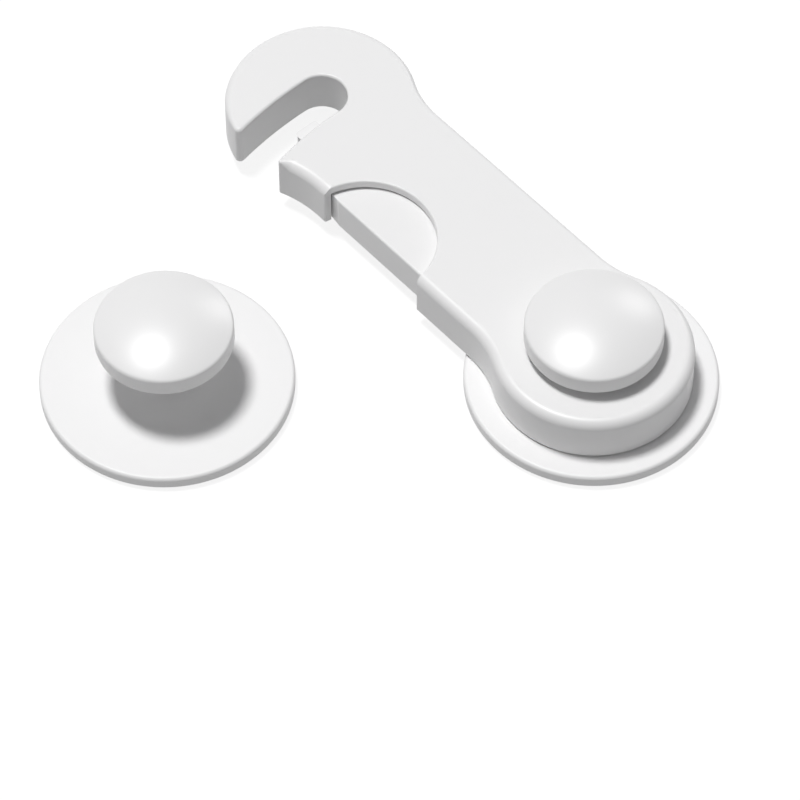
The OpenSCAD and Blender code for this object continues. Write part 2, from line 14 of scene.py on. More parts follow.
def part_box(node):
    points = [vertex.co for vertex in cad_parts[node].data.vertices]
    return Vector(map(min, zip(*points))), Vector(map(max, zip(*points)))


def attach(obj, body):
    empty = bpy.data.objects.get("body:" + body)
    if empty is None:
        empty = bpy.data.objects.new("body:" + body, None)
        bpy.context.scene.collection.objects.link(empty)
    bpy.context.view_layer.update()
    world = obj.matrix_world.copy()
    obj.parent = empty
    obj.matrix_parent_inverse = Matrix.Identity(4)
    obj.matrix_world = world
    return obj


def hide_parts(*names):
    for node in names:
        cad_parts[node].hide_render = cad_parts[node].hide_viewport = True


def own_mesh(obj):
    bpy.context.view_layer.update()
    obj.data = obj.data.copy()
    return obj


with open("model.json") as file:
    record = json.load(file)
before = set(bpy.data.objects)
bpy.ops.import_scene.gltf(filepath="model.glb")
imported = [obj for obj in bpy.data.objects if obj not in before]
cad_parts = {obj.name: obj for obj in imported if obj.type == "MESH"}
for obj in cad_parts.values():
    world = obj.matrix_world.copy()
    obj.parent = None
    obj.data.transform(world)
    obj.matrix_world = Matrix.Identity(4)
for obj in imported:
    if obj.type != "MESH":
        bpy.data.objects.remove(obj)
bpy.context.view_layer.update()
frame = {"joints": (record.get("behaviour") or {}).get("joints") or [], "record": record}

MM = 0.001
X, Y, Z = 0, 1, 2
HALVES = "stuck_on_halves"
ARM = "swing_arm"
LEVER = "release_lever"


# Places and spans

def at(c, r, a):
    """Point at a distance and an angle in degrees from a centre."""
    return c[X] + r * cos(radians(a)), c[Y] + r * sin(radians(a))


def span(node, axis):
    """Lowest and highest place of a CAD node along one axis, in millimetres."""
    low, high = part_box(node)
    return low[axis] / MM, high[axis] / MM


# Sizes taken from the frame
joints = {joint["name"]: joint for joint in frame["joints"]}
mounts = {mount["name"]: mount for mount in frame["record"]["mounts"]}
open_angle = radians(joints["arm_swing"]["range_deg"][1])
spacing = -mounts["catch_pad_face"]["pos_m"][X] / MM
catch_c = (-spacing, 0)
pivot_c = (0, 0)
base_z0, post_z1 = span("pivot_base", Z)
disc_r = span("pivot_base", X)[1]
pad_r = span("pivot_pad", X)[1]
pad_t = span("pivot_pad", Z)[1]
button_z0, dome_z = span("pivot_button", Z)
button_r = span("pivot_button", X)[1]
post_head_z0, post_screw_z1 = span("pivot_screw", Z)
post_head_r = span("pivot_screw", X)[1]
arm_z0, arm_z1 = span("arm_cover", Z)
plate_z1 = span("arm_back_plate", Z)[1]
arm_screw_z1 = span("arm_screws", Z)[1]
skirt_z0, lever_z1 = span("release_lever", Z)
pin_z0, pin_z1 = span("lever_pin", Z)

# Sizes of the bases and buttons
disc_t = 2.4
disc_edge_r = 0.7
post_r = 3.7
post_root_r = 0.25
fit_gap = 0.15
run_gap = 0.06
pit_r = 3
pit_z1 = 3.2
screw_hole_r = 1.65
button_rim_h = 3.5
button_edge_r = 0.7
socket_z1 = post_z1
screw_seat_r = 1.52
screw_seat_z1 = 17.4
groove_r0 = 5.9
groove_r1 = 9.5
groove_depth = 2
soft_edge = 0.15
fine_edge = 0.3

# Sizes of the arm
arm_half_w = 13.85
arm_far_w = 14.2
pivot_head_r = 17.9
head_split_a = 20
head_far_r = 16.9
head_far_c = at(pivot_c, 1, head_split_a)
hook_head_r = 17.55
hook_split_a = 150
neck_r = 18
arm_edge_r = 1.8
far_edge_r = 1.3
wall = 1.4
skin = 1.6
sleeve_r = 6.2
hook_c = (1.15 - spacing, 0.72)
trim_c = (hook_c[X] - 0.8, hook_c[Y] - 0.3)
trim_r = hook_head_r - 0.8
slot_hw = 4.75
slot_r = spacing - 0.9
slot_end = 1
slot_edge_r = 0.5
slot_sweep_a = 26
tip_r = 0.9
heel_r = 0.5
heel_end_r = 0.5
heel_in = 0.7
scoop_r = 22
scoop_c = (hook_c[X] + 15.05, -(arm_half_w - heel_in + scoop_r))
scoop_blend_a = 5
window_r = 12.8
window_c = (-43.6, -arm_half_w - 0.8)
window_edge_r = 0.35
window_corner_r = 0.3
tip_edge_r = 0.675
heel_edge_r = 0.45
skin_z0 = arm_z1 - skin
slot_out_r = slot_r + slot_hw
slot_in_r = slot_r - slot_hw
slot_a = 180 - degrees(asin(slot_end / slot_r))
slot_c = at(pivot_c, slot_r, slot_a)

# Sizes of the lever, its pin and its spring
lever_pin_c = (slot_c[X] + 7.8, slot_c[Y] + 7.4)
lever_left = slot_c[X] + slot_hw + wall + 1.3
lever_front = -arm_half_w + wall + 0.65
lever_z0 = lever_z1 - 5.4
lever_right = window_c[X] + window_r + 4
lever_back = window_c[Y] + window_r + 2.75
lever_corner_r = 1.5
lever_tip_r = 0.4
lever_front_r = 0.6
lever_nook_r = 0.6
lever_web_r = 1
lever_root_r = 2.2
lever_edge_r = 0.45
lever_web_w = 6.2
lever_gap = 0.35
lever_well_w = 6.15
pocket_wall = 1.8
pocket_depth = 4
pocket_corner_r = 0.5
eye_r = 3.2
pin_r = 1
pin_chamfer = 0.2
press_gap = 0.02
seat_gap = 0.3
tooth_y0 = -7.2
tooth_y1 = -2.8
tooth_tip = -(slot_in_r + 2.2)
tooth_z0 = lever_z1 - 3.3
tooth_z1 = lever_z1 - 0.1
tooth_nose = 0.5
tooth_edge_r = 0.25
skirt_x0 = window_c[X] - window_r - 0.3
skirt_x1 = window_c[X] + window_r + 0.8
skirt_t = 1
spring_x = window_c[X] - 2.4
spring_z = (lever_z0 + lever_z1) / 2
spring_coil_r = 1.85
spring_wire_r = 0.25
spring_turns = 6
rib_y = arm_half_w - wall - 3.05
rib_w = 7
stub_l = 1.2
stub_r = 1.45

# Screws, and the pillars that the small ones go into
pillar_r = 2.6
pillar_hole_r = 1.12
pillar_y = 9.6
hook_pillar_r = 12.15
hook_pillar_a = 108
head_pillar_r = 12.5
head_pillar_a = 12
arm_screw_r = 1.1
arm_head_r = 2
arm_head_rim_in = 0.08
arm_head_rim_h = 0.1
arm_head_neck_h = 0.2
arm_screw_pitch = 0.8
post_screw_r = 1.5
post_head_edge_r = 1.1
post_head_rim_r = 0.2
post_screw_pitch = 1.1
core_share = 0.78
point_share = 0.4
thread_share = 0.16
far_pillar_share = 0.45
near_pillar_share = 0.208
pillars = [
    at(hook_c, hook_pillar_r, hook_pillar_a),
    (-far_pillar_share * spacing, pillar_y),
    (-near_pillar_share * spacing, -pillar_y),
    at(pivot_c, head_pillar_r, head_pillar_a),
]

# Numbers of flat sides on round shapes
BORE_SIDES = 48
BOSS_SIDES = 64
SLEEVE_SIDES = 96
LATHE_SIDES = 160
HEAD_SIDES = 180

# How far a cutter reaches past what it cuts
over = 1


# Outlines

def direction(p, q):
    """Angle in degrees of the way from p to q."""
    return degrees(atan2(q[Y] - p[Y], q[X] - p[X]))


def above(a, start):
    """The angle brought to lie above another one by less than a full turn."""
    return start + (a - start) % 360


def below(a, start):
    """The angle brought to lie below another one by less than a full turn."""
    return start - (start - a) % 360


def meet(p, rp, q, rq, side):
    """Where two circles cross, on the left (1) or right (-1) of the way from p to q."""
    d = hypot(q[X] - p[X], q[Y] - p[Y])
    along = (d * d + rp * rp - rq * rq) / (2 * d)
    across = side * sqrt(rp * rp - along * along)
    u = ((q[X] - p[X]) / d, (q[Y] - p[Y]) / d)
    return p[X] + along * u[X] - across * u[Y], p[Y] + along * u[Y] + across * u[X]


def arm_arcs():
    """The arm's outline as arcs: centre, radius, first and last angle, edge radius at both ends."""
    o = pivot_c
    flank = arm_half_w + neck_r
    low = (-sqrt((pivot_head_r + neck_r) ** 2 - flank ** 2), -flank)
    far = arm_far_w + neck_r
    high = (head_far_c[X] - sqrt((head_far_r + neck_r) ** 2 - (far - head_far_c[Y]) ** 2), far)
    hook_neck = (hook_c[X] + sqrt((hook_head_r + neck_r) ** 2 - (far - hook_c[Y]) ** 2), far)
    cross = meet(hook_c, hook_head_r, trim_c, trim_r, 1)
    tip = meet(o, slot_out_r + tip_r, trim_c, trim_r - tip_r, 1)
    heel = meet(o, slot_in_r - heel_r, scoop_c, scoop_r + heel_r, -1)
    scoop_a = above(direction(scoop_c, heel), 90)
    scoop_b = scoop_a - scoop_blend_a
    head_a = direction(o, low)
    far_a = direction(head_far_c, high)
    hook_a = direction(hook_c, hook_neck)
    cross_a = direction(trim_c, cross)
    tip_a = direction(trim_c, tip)
    mouth_a = direction(o, tip)
    heel_a = direction(o, heel)
    e = arm_edge_r
    return [
        (low, neck_r, 90, direction(low, o), e, e),
        (o, pivot_head_r, head_a, above(head_split_a, head_a), e, e),
        (head_far_c, head_far_r, head_split_a, above(far_a, head_split_a), e, far_edge_r),
        (high, neck_r, direction(high, head_far_c), -90, far_edge_r, far_edge_r),
        (hook_neck, neck_r, -90, below(direction(hook_neck, hook_c), -90), far_edge_r, far_edge_r),
        (hook_c, hook_head_r, hook_a, hook_split_a, far_edge_r, far_edge_r),
        (hook_c, hook_head_r, hook_split_a, above(direction(hook_c, cross), hook_split_a), far_edge_r, e),
        (trim_c, trim_r, cross_a, above(tip_a, cross_a), e, tip_edge_r),
        (tip, tip_r, tip_a, above(direction(tip, o), tip_a), tip_edge_r, tip_edge_r),
        (o, slot_out_r, mouth_a, below(slot_a, mouth_a), tip_edge_r, slot_edge_r),
        (slot_c, slot_hw, slot_a, slot_a - 180, slot_edge_r, slot_edge_r),
        (o, slot_in_r, slot_a, above(heel_a, slot_a), slot_edge_r, heel_edge_r),
        (heel, heel_r, heel_a, above(direction(heel, scoop_c), heel_a), heel_edge_r, heel_edge_r),
        (scoop_c, scoop_r, scoop_a, scoop_b, heel_edge_r, e),
        (scoop_c, scoop_r, scoop_b, 90, e, e),
        ((window_c[X] - window_r / 2, heel_in - arm_half_w), 0, -90, -90, e, e),
        ((window_c[X] + window_r / 2, -arm_half_w), 0, -90, -90, e, e),
    ]


def window_arcs():
    """Outline of what the thumb window takes away, with its corner rounded on each side."""
    inset = window_c[Y] + arm_half_w
    heel_end = (window_c[X] - sqrt((window_r + heel_end_r) ** 2 - (heel_end_r + heel_in - inset) ** 2),
                -arm_half_w + heel_in + heel_end_r)
    corner = (window_c[X] + sqrt((window_r + window_corner_r) ** 2 - (window_corner_r - inset) ** 2),
              -arm_half_w + window_corner_r)
    outside = -arm_half_w - 1
    e = window_edge_r
    straight_down = 270
    heel_a = direction(heel_end, window_c)
    return [
        ((heel_end[X], outside), 0, -90, -90, 0, 0),
        ((corner[X], outside), 0, -90, -90, 0, 0),
        (corner, window_corner_r, straight_down, above(direction(corner, window_c), 90), e, e),
        (window_c, window_r, direction(window_c, corner), direction(window_c, heel_end), e, e),
        (heel_end, heel_end_r, heel_a, -90, e, e),
    ]


def trace(arcs, facet=0.5, facet_a=4):
    """Points along a chain of arcs, each with its outward normal and its edge radius."""
    rows = []
    for c, r, a0, a1, e0, e1 in arcs:
        sweep = abs(a1 - a0)
        n = max(1, ceil(max(sweep / facet_a, radians(sweep) * r / facet)))
        side = 1 if a1 >= a0 else -1
        for i in range(1 if r == 0 else n + 1):
            f = i / n
            a = a0 + f * (a1 - a0)
            out = 1 if r == 0 else side
            p = at(c, r, a)
            rows.append((p, (out * cos(radians(a)), out * sin(radians(a))), e0 + f * (e1 - e0)))
    same_point = 0.02
    return [row for row, after in zip(rows, rows[1:] + rows[:1])
            if hypot(after[0][X] - row[0][X], after[0][Y] - row[0][Y]) > same_point]


def rounded(corners, facet_a=10):
    """A closed outline from corners (a, b) or (a, b, radius), with every given radius drawn as an arc."""
    points = []
    count = len(corners)
    for i, corner in enumerate(corners):
        p = Vector(corner[:2])
        r = corner[2] if len(corner) > 2 else 0
        if r == 0:
            points.append(tuple(p))
            continue
        back = (Vector(corners[i - 1][:2]) - p).normalized()
        on = (Vector(corners[(i + 1) % count][:2]) - p).normalized()
        half = back.angle(on) / 2
        centre = p + (back + on).normalized() * (r / sin(half))
        start = p + back * (r / tan(half)) - centre
        turn = pi - 2 * half
        sign = 1 if back.x * on.y - back.y * on.x < 0 else -1
        n = max(2, ceil(degrees(turn) / facet_a))
        for k in range(n + 1):
            points.append(tuple(centre + Matrix.Rotation(sign * turn * k / n, 2) @ start))
    return points


def with_normals(points, edge):
    """Gives each point of an anticlockwise outline its outward normal and an edge radius."""
    least_spread = 0.5
    rows = []
    for i, p in enumerate(points):
        before = Vector(p) - Vector(points[i - 1])
        after = Vector(points[(i + 1) % len(points)]) - Vector(p)
        tangent = (before.normalized() + after.normalized()).normalized()
        spread = max(least_spread, tangent.dot(after.normalized()))
        rows.append((p, (tangent.y / spread, -tangent.x / spread), edge))
    return rows


# Meshes

def new_object(name, bm):
    """A named object with the mesh in metres, its doubles merged and its faces pointing outwards."""
    same_vertex = 0.0005
    bmesh.ops.remove_doubles(bm, verts=bm.verts, dist=same_vertex)
    bmesh.ops.recalc_face_normals(bm, faces=bm.faces)
    bmesh.ops.scale(bm, vec=(MM, MM, MM), verts=bm.verts)
    mesh = bpy.data.meshes.new(name)
    bm.to_mesh(mesh)
    bm.free()
    obj = bpy.data.objects.new(name, mesh)
    bpy.context.scene.collection.objects.link(obj)
    return obj


def join_rings(bm, rings):
    """Quads between neighbouring rings of vertices."""
    for low, high in zip(rings, rings[1:]):
        for i in range(len(low)):
            j = (i + 1) % len(low)
            bm.faces.new((low[i], low[j], high[j], high[i]))


def raised(name, rows, levels):
    """A solid over an outline, through levels that give every row's step outwards and its height."""
    bm = bmesh.new()
    rings = []
    for steps, heights in levels:
        rings.append([bm.verts.new((p[X] + n[X] * d, p[Y] + n[Y] * d, z))
                      for (p, n, _), d, z in zip(rows, steps, heights)])
    join_rings(bm, rings)
    bm.faces.new(list(reversed(rings[0])))
    bm.faces.new(rings[-1])
    return new_object(name, bm)


def slab(name, rows, z0, z1, low_edge=0.0, edge_steps=8):
    """An upright solid over an outline: each row's radius rounds its top edge, and low_edge its lower one."""
    count = len(rows)
    levels = []
    if low_edge:
        low_steps = 3
        for k in range(low_steps + 1):
            a = pi / 2 * k / low_steps
            levels.append(([-low_edge * (1 - sin(a))] * count, [z0 + low_edge * (1 - cos(a))] * count))
    else:
        levels.append(([0] * count, [z0] * count))
    for k in range(edge_steps + 1):
        a = pi / 2 * k / edge_steps
        inwards = 1 - cos(a)
        down = 1 - sin(a)
        levels.append(([-e * inwards for _, _, e in rows], [z1 - e * down for _, _, e in rows]))
        if rows[0][2] == 0:
            break
    return raised(name, rows, levels)


def flared(name, rows, z0, z1, edge_steps=6):
    """An upright cutter that widens by each row's radius at a top face, so it leaves a rounded edge there."""
    count = len(rows)
    levels = [([0] * count, [z0] * count)]
    for k in range(edge_steps + 1):
        a = pi / 2 * k / edge_steps
        levels.append(([e * (1 - cos(a)) for _, _, e in rows], [z1 - window_edge_r * (1 - sin(a))] * count))
    levels.append(([e for _, _, e in rows], [z1 + over] * count))
    return raised(name, rows, levels)


def lathe(name, profile, centre=pivot_c, sides=LATHE_SIDES):
    """A closed profile of (radius, height) points turned about an upright axis."""
    bm = bmesh.new()
    rings = []
    for r, z in profile:
        turns = [2 * pi * k / sides for k in range(sides if r > 0 else 1)]
        rings.append([bm.verts.new((centre[X] + r * cos(a), centre[Y] + r * sin(a), z)) for a in turns])
    for low, high in zip(rings, rings[1:] + rings[:1]):
        if len(low) == 1 and len(high) == 1:
            continue
        for i in range(sides):
            j = (i + 1) % sides
            corners = [low[i % len(low)], low[j % len(low)], high[j % len(high)], high[i % len(high)]]
            bm.faces.new(list(dict.fromkeys(corners)))
    return new_object(name, bm)


def drum(c, r, z0, z1, sides=SLEEVE_SIDES):
    """A plain round cutter or pillar."""
    return lathe("drum", [(0, z0), (r, z0), (r, z1), (0, z1)], c, sides)


def block(x0, x1, y0, y1, z0, z1):
    """A plain box."""
    return slab("block", [(p, (0, 0), 0) for p in ((x0, y0), (x1, y0), (x1, y1), (x0, y1))], z0, z1)


def cross_drum(x, y0, y1, z, r):
    """A round stub that lies along Y."""
    stub = drum((0, 0), r, y0, y1, BORE_SIDES)
    stub.data.transform(Matrix.Translation((x * MM, 0, z * MM)) @ Matrix.Rotation(-pi / 2, 4, "X"))
    return stub


def baked(obj):
    """The mesh of an object with its modifiers applied."""
    bpy.context.view_layer.update()
    evaluated = obj.evaluated_get(bpy.context.evaluated_depsgraph_get())
    mesh = bpy.data.meshes.new_from_object(evaluated)
    obj.modifiers.clear()
    obj.data = mesh
    return obj


def combine(obj, how, *tools):
    """Cuts, joins or keeps what is common with each tool in turn, and removes the tools."""
    for tool in tools:
        step = obj.modifiers.new("combine", "BOOLEAN")
        step.operation = how
        step.solver = "MANIFOLD"
        step.object = tool
        baked(obj)
        bpy.data.objects.remove(tool)
    return obj


def cut(obj, *tools):
    """Takes each tool away from an object."""
    return combine(obj, "DIFFERENCE", *tools)


def add(obj, *tools):
    """Joins each tool to an object."""
    return combine(obj, "UNION", *tools)


def smooth(obj, sharp_a=32):
    """Smooth shading up to a sharp angle, with large flat faces kept flat."""
    obj.data.shade_smooth()
    obj.data.set_sharp_from_angle(angle=radians(sharp_a))
    even = obj.modifiers.new("even", "WEIGHTED_NORMAL")
    even.keep_sharp = True
    even.weight = 100
    return baked(obj)


def soften(obj, width, segments=3, sharp_a=40):
    """Rounds the sharp edges of a finished solid."""
    round_off = obj.modifiers.new("round_off", "BEVEL")
    round_off.width = width * MM
    round_off.segments = segments
    round_off.limit_method = "ANGLE"
    round_off.angle_limit = radians(sharp_a)
    round_off.use_clamp_overlap = True
    return baked(obj)


def opened(obj):
    """Turns a piece of the arm from the locked pose, in which it is drawn, to the open pose."""
    obj.data.transform(Matrix.Rotation(-open_angle, 4, "Z"))
    return obj


def place(obj, name, body, material, node=None):
    """Names a finished piece, gives it its finish and lets it ride on its body."""
    obj.name = name
    obj.data.name = name
    if material:
        obj.data.materials.clear()
        obj.data.materials.append(material)
    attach(obj, body)
    if node:
        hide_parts(node)
    return obj


# Effects that several finishes share

def shader_group(name, inputs, outputs):
    """An empty node group with named inputs (name, kind, value) and outputs (name, kind)."""
    group = bpy.data.node_groups.new(name, "ShaderNodeTree")
    for label, kind, value in inputs:
        socket = group.interface.new_socket(label, in_out="INPUT", socket_type=kind)
        if value is not None:
            socket.default_value = value
    for label, kind in outputs:
        group.interface.new_socket(label, in_out="OUTPUT", socket_type=kind)
    return group, group.nodes.new("NodeGroupInput"), group.nodes.new("NodeGroupOutput")


def maths(nodes, links, operation, a, b=0.0, clamp=False):
    """One Math node; a and b are sockets or numbers."""
    node = nodes.new("ShaderNodeMath")
    node.operation = operation
    node.use_clamp = clamp
    for socket, value in zip(node.inputs, (a, b)):
        if isinstance(value, (int, float)):
            socket.default_value = value
        else:
            links.new(value, socket)
    return node.outputs[0]


def noise(nodes, links, vector, scale, detail=3.0, roughness=0.5):
    """One Noise Texture node; its scale is a socket or a number."""
    node = nodes.new("ShaderNodeTexNoise")
    links.new(vector, node.inputs["Vector"])
    if isinstance(scale, (int, float)):
        node.inputs["Scale"].default_value = scale
    else:
        links.new(scale, node.inputs["Scale"])
    node.inputs["Detail"].default_value = detail
    node.inputs["Roughness"].default_value = roughness
    return node.outputs["Fac"]


def blend_colour(nodes, links, factor, a, b):
    """One Mix node for colours: a where the factor is 0 and b where it is 1."""
    node = nodes.new("ShaderNodeMix")
    node.data_type = "RGBA"
    for socket, value in ((node.inputs[0], factor), (node.inputs[6], a), (node.inputs[7], b)):
        if isinstance(value, (float, tuple)):
            socket.default_value = value
        else:
            links.new(value, socket)
    return node.outputs[2]


def make_moulded_skin():
    """Moulded plastic: slow drift of tone, a fine spark-eroded grain and polished, paler edges."""
    group, given, out = shader_group(
        "moulded_skin",
        [("Place", "NodeSocketVector", None), ("Normal", "NodeSocketVector", None),
         ("Colour", "NodeSocketColor", (0.8, 0.8, 0.8, 1)), ("Shade", "NodeSocketColor", (0.7, 0.7, 0.7, 1)),
         ("Roughness", "NodeSocketFloat", 0.3), ("Grain", "NodeSocketFloat", 6000.0),
         ("Polish", "NodeSocketFloat", 0.05)],
        [("Colour", "NodeSocketColor"), ("Roughness", "NodeSocketFloat"), ("Height", "NodeSocketFloat")])
    drift_scale, drift_share = 60.0, 0.7
    cloud_scale, cloud_share = 420.0, 0.3
    edge_power, edge_share = 3.0, 0.5
    rough_spread = 0.03
    nodes, links = group.nodes, group.links
    coordinates, normal = given.outputs["Place"], given.outputs["Normal"]
    drift = noise(nodes, links, coordinates, drift_scale, detail=2.0)
    cloud = noise(nodes, links, coordinates, cloud_scale, detail=3.0)
    grain = noise(nodes, links, coordinates, given.outputs["Grain"], detail=2.0, roughness=0.6)
    slow_part = maths(nodes, links, "MULTIPLY", drift, drift_share)
    tone = maths(nodes, links, "ADD", slow_part, maths(nodes, links, "MULTIPLY", cloud, cloud_share))
    split = nodes.new("ShaderNodeSeparateXYZ")
    links.new(normal, split.inputs[0])
    up = maths(nodes, links, "ABSOLUTE", split.outputs["Z"])
    up_squared = maths(nodes, links, "MULTIPLY", up, up)
    flat = maths(nodes, links, "SQRT", maths(nodes, links, "SUBTRACT", 1.0, up_squared, True))
    edge = maths(nodes, links, "MULTIPLY", maths(nodes, links, "MULTIPLY", up, flat), 2.0, True)
    edge = maths(nodes, links, "POWER", edge, edge_power)
    colour = blend_colour(nodes, links, tone, given.outputs["Shade"], given.outputs["Colour"])
    paler = maths(nodes, links, "MULTIPLY", edge, edge_share)
    colour = blend_colour(nodes, links, paler, colour, given.outputs["Colour"])
    links.new(colour, out.inputs["Colour"])
    uneven = maths(nodes, links, "MULTIPLY", maths(nodes, links, "SUBTRACT", cloud, 0.5), rough_spread)
    rough = maths(nodes, links, "ADD", given.outputs["Roughness"], uneven)
    polish = maths(nodes, links, "MULTIPLY", edge, given.outputs["Polish"])
    rough = maths(nodes, links, "SUBTRACT", rough, polish)
    links.new(rough, out.inputs["Roughness"])
    links.new(grain, out.inputs["Height"])
    return group


def make_plated_metal():
    """Plated steel: fine turning marks round the piece and cloudy patches of tone."""
    group, given, out = shader_group(
        "plated_metal",
        [("Place", "NodeSocketVector", None), ("Colour", "NodeSocketColor", (0.6, 0.6, 0.6, 1)),
         ("Tint", "NodeSocketColor", (0.5, 0.5, 0.5, 1)), ("Roughness", "NodeSocketFloat", 0.3)],
        [("Colour", "NodeSocketColor"), ("Roughness", "NodeSocketFloat"), ("Height", "NodeSocketFloat")])
    cloud_scale, marks_scale = 900.0, 1600.0
    marks_stretch = 14
    rough_spread = 0.25
    nodes, links = group.nodes, group.links
    cloud = noise(nodes, links, given.outputs["Place"], cloud_scale, detail=4.0, roughness=0.6)
    stretch = nodes.new("ShaderNodeMapping")
    stretch.inputs["Scale"].default_value = (1, 1, marks_stretch)
    links.new(given.outputs["Place"], stretch.inputs["Vector"])
    marks = noise(nodes, links, stretch.outputs["Vector"], marks_scale, detail=3.0)
    colour = blend_colour(nodes, links, cloud, given.outputs["Tint"], given.outputs["Colour"])
    links.new(colour, out.inputs["Colour"])
    uneven = maths(nodes, links, "MULTIPLY", maths(nodes, links, "SUBTRACT", marks, 0.5), rough_spread)
    rough = maths(nodes, links, "ADD", given.outputs["Roughness"], uneven)
    links.new(rough, out.inputs["Roughness"])
    links.new(marks, out.inputs["Height"])
    return group


def make_foam_cells():
    """Closed-cell foam tape: small cells whose hollows are painted darker than the walls between them as
    painted shade, in cloudy patches of tone.
    """
    group, given, out = shader_group(
        "foam_cells",
        [("Place", "NodeSocketVector", None), ("Colour", "NodeSocketColor", (0.7, 0.7, 0.68, 1)),
         ("Hollow shade", "NodeSocketColor", (0.55, 0.55, 0.52, 1)), ("Cells", "NodeSocketFloat", 2400.0)],
        [("Colour", "NodeSocketColor"), ("Roughness", "NodeSocketFloat"), ("Height", "NodeSocketFloat")])
    wall_contrast = 3.0
    hollow_shade_share = 0.6
    cloud_scale = 300.0
    least_roughness, rough_spread = 0.75, 0.2
    nodes, links = group.nodes, group.links
    cell = nodes.new("ShaderNodeTexVoronoi")
    cell.feature = "DISTANCE_TO_EDGE"
    links.new(given.outputs["Place"], cell.inputs["Vector"])
    links.new(given.outputs["Cells"], cell.inputs["Scale"])
    body = maths(nodes, links, "MULTIPLY", cell.outputs["Distance"], wall_contrast, True)
    cloud = noise(nodes, links, given.outputs["Place"], cloud_scale, detail=3.0)
    # Painted shade: the deeper a point lies in its cell, the darker its colour.
    tone = maths(nodes, links, "SUBTRACT", 1.0, maths(nodes, links, "MULTIPLY", body, hollow_shade_share), True)
    tone = maths(nodes, links, "MULTIPLY", tone, maths(nodes, links, "ADD", cloud, 0.5), True)
    colour = blend_colour(nodes, links, tone, given.outputs["Hollow shade"], given.outputs["Colour"])
    links.new(colour, out.inputs["Colour"])
    uneven = maths(nodes, links, "MULTIPLY", cloud, rough_spread)
    links.new(maths(nodes, links, "ADD", least_roughness, uneven), out.inputs["Roughness"])
    links.new(maths(nodes, links, "SUBTRACT", 1.0, body), out.inputs["Height"])
    return group


MOULDED_SKIN = make_moulded_skin()
PLATED_METAL = make_plated_metal()
FOAM_CELLS = make_foam_cells()


# Finishes

def finish(name, group, values, bump, depth, shader_values):
    """A material whose colour, roughness and relief come from one shared effect."""
    material = bpy.data.materials.new(name)
    material.use_nodes = True
    nodes, links = material.node_tree.nodes, material.node_tree.links
    shader = nodes["Principled BSDF"]
    for label, value in shader_values.items():
        shader.inputs[label].default_value = value
    effect = nodes.new("ShaderNodeGroup")
    effect.node_tree = group
    for label, value in values.items():
        effect.inputs[label].default_value = value
    coordinates = nodes.new("ShaderNodeTexCoord")
    links.new(coordinates.outputs["Object"], effect.inputs["Place"])
    if "Normal" in effect.inputs:
        links.new(coordinates.outputs["Normal"], effect.inputs["Normal"])
    relief = nodes.new("ShaderNodeBump")
    relief.inputs["Strength"].default_value = bump
    relief.inputs["Distance"].default_value = depth * MM
    links.new(effect.outputs["Height"], relief.inputs["Height"])
    links.new(effect.outputs["Colour"], shader.inputs["Base Color"])
    links.new(effect.outputs["Roughness"], shader.inputs["Roughness"])
    links.new(relief.outputs["Normal"], shader.inputs["Normal"])
    return material


def white_plastic(name, colour, shade, roughness, ior=1.5, bump=0.25):
    """Moulded white plastic; every kind has the same fine grain."""
    grain_scale, grain_depth = 5200.0, 0.002
    edge_polish = 0.05
    look = {"Colour": colour, "Shade": shade, "Roughness": roughness,
            "Grain": grain_scale, "Polish": edge_polish}
    return finish(name, MOULDED_SKIN, look, bump, grain_depth, {"IOR": ior})


ARM_WHITE = white_plastic("arm_white", (0.885, 0.883, 0.883, 1), (0.867, 0.865, 0.865, 1), roughness=0.4)
BUTTON_WHITE = white_plastic("button_white", (0.868, 0.866, 0.866, 1), (0.853, 0.851, 0.851, 1),
                             roughness=0.36, ior=1.6)
BASE_WHITE = white_plastic("base_white", (0.916, 0.914, 0.914, 1), (0.9, 0.898, 0.898, 1), roughness=0.45)
LEVER_WHITE = white_plastic("lever_white", (0.9, 0.898, 0.898, 1), (0.885, 0.883, 0.883, 1), roughness=0.34)
PLATE_WHITE = white_plastic("plate_white", (0.84, 0.838, 0.838, 1), (0.815, 0.813, 0.813, 1),
                            roughness=0.5, bump=0.5)
# The foam's hollow colour is painted shade in the cells.
FOAM = finish(
    "foam_tape", FOAM_CELLS,
    {"Colour": (0.78, 0.78, 0.76, 1), "Hollow shade": (0.6, 0.6, 0.58, 1), "Cells": 2600.0},
    bump=0.5, depth=0.06, shader_values={"IOR": 1.45})
ZINC = finish(
    "zinc_steel", PLATED_METAL,
    {"Colour": (0.66, 0.67, 0.69, 1), "Tint": (0.52, 0.53, 0.56, 1), "Roughness": 0.32},
    bump=0.3, depth=0.01, shader_values={"Metallic": 1.0})
STEEL = finish(
    "bright_steel", PLATED_METAL,
    {"Colour": (0.74, 0.74, 0.75, 1), "Tint": (0.62, 0.62, 0.64, 1), "Roughness": 0.22},
    bump=0.2, depth=0.006, shader_values={"Metallic": 1.0})


# Stuck-on halves

def base(centre):
    """Round base with its post, the screw's hole and pit, and a shallow recess for the pad."""
    disc_z1 = base_z0 + disc_t
    recess_r = pad_r + fit_gap
    profile = rounded([
        (screw_hole_r, pit_z1), (pit_r, pit_z1), (pit_r, pad_t, soft_edge), (recess_r, pad_t),
        (recess_r, base_z0, soft_edge), (disc_r, base_z0, fine_edge), (disc_r, disc_z1, disc_edge_r),
        (post_r, disc_z1, post_root_r), (post_r, post_z1, fine_edge), (screw_hole_r, post_z1, soft_edge)])
    return smooth(lathe("base", profile, centre))


